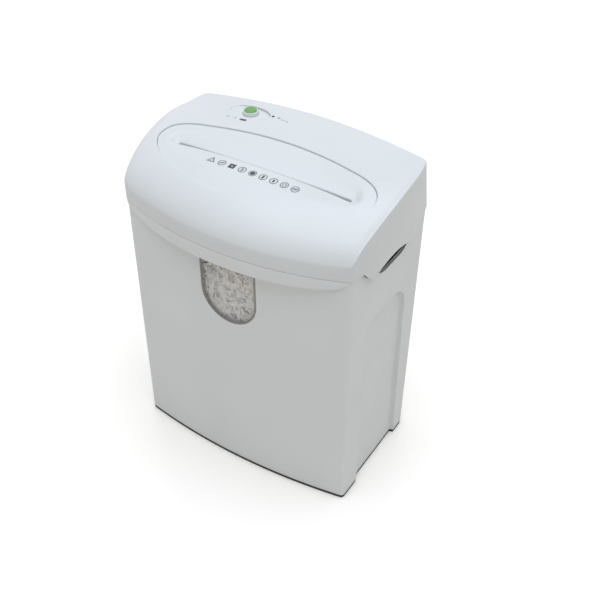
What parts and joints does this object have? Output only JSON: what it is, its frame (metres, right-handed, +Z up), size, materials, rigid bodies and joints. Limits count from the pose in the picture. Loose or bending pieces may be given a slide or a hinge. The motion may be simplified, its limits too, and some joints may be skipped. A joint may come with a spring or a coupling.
{
  "type": "paper shredder",
  "caption": "Free-standing cross-cut paper shredder: a bowed bin with a window, under a lift-off head that holds the slot, slide switch, cutters, gears and motor.",
  "frame": {"origin": "middle of the footprint, on the floor", "axes": "+Z up, -Y the front with the window, +X to the user's right when facing the front"},
  "size_m": [0.316, 0.21, 0.4101],
  "materials": {
    "hood_white": "fine satin moulded polystyrene, bluish white",
    "bin_grey": "fine satin moulded polystyrene, pale grey",
    "window": "smoky clear moulding",
    "dark_plastic": "black moulded plastic",
    "cap_green": "green translucent button cap",
    "lens": "small clear indicator lens",
    "steel": "zinc plated steel",
    "cutter_steel": "hardened and oiled steel",
    "bronze": "sintered bronze",
    "nylon": "natural nylon",
    "magnet": "ferrite",
    "bell_alloy": "die cast",
    "carbon": "carbon brush",
    "copper": "enamelled copper winding on steel",
    "board": "solder resist on fibreglass",
    "board_part": "moulded component cases"
  },
  "bodies": {
    "bin": {"bin": "bin_grey", "window_pane": "window"},
    "head": {"hood": "hood_white", "feed_insert": "hood_white", "base_tray": "dark_plastic", "switch_dish": "hood_white", "switch_body": "dark_plastic", "indicator_lenses": "lens", "side_plate_left": "steel", "side_plate_right": "steel", "tie_rods": "steel", "tie_rod_nuts": "steel", "stripper_front": "dark_plastic", "stripper_rear": "dark_plastic", "shaft_bushes": "bronze", "idler_pins": "steel", "gearbox_cover": "dark_plastic", "cover_screws": "steel", "motor_can": "steel", "motor_magnets": "magnet", "motor_drive_bell": "bell_alloy", "motor_brush_bell": "dark_plastic", "motor_brushes": "carbon", "motor_screws": "steel", "control_board": "board", "board_parts": "board_part", "board_screws": "steel", "interlock_switch": "dark_plastic", "paper_sensors": "dark_plastic", "cord_gland": "dark_plastic", "frame_screws": "steel", "hood_screws": "steel"},
    "rear_cutter": {"rear_cutter": "cutter_steel", "sync_gear_rear": "steel", "final_gear": "steel", "retaining_clips": "steel"},
    "front_cutter": {"front_cutter": "cutter_steel", "sync_gear_front": "steel"},
    "idler_2": {"idler_gear_2": "nylon"},
    "idler_1": {"idler_gear_1": "nylon"},
    "rotor": {"motor_armature": "copper", "motor_pinion": "steel", "motor_fan": "dark_plastic"},
    "switch_slider": {"switch_knob": "hood_white", "knob_cap": "cap_green"},
    "interlock": {"interlock_plunger": "nylon"}
  },
  "joints": [
    {"name": "head_lift", "type": "slide", "parent": "bin", "child": "head", "axis": [0, 0, 1], "range_m": [0, 0.12]},
    {"name": "rear_cutter_spin", "type": "hinge", "parent": "head", "child": "rear_cutter", "pos_m": [0, -0.0005, 0.352], "axis": [1, 0, 0], "continuous": true},
    {"name": "front_cutter_spin", "type": "hinge", "parent": "head", "child": "front_cutter", "pos_m": [0, -0.0335, 0.352], "axis": [1, 0, 0], "continuous": true},
    {"name": "idler_2_spin", "type": "hinge", "parent": "head", "child": "idler_2", "pos_m": [0, 0.03581, 0.34946], "axis": [1, 0, 0], "continuous": true},
    {"name": "idler_1_spin", "type": "hinge", "parent": "head", "child": "idler_1", "pos_m": [0, 0.06112, 0.36648], "axis": [1, 0, 0], "continuous": true},
    {"name": "rotor_spin", "type": "hinge", "parent": "head", "child": "rotor", "pos_m": [0, 0.0542, 0.341], "axis": [1, 0, 0], "continuous": true},
    {"name": "switch_slide", "type": "slide", "parent": "head", "child": "switch_slider", "axis": [1, 0, 0], "range_m": [-0.007, 0.007]},
    {"name": "interlock_travel", "type": "slide", "parent": "head", "child": "interlock", "axis": [0, 0, 1], "range_m": [0, 0.0015], "stiffness_N_per_m": 150, "springref_m": -0.001}
  ],
  "couplings": [
    {"joint": "front_cutter_spin", "follows": "rear_cutter_spin", "ratio": -1},
    {"joint": "idler_2_spin", "follows": "rear_cutter_spin", "ratio": -3.3333},
    {"joint": "idler_1_spin", "follows": "rear_cutter_spin", "ratio": 12.308},
    {"joint": "rotor_spin", "follows": "rear_cutter_spin", "ratio": -55.385}
  ]
}
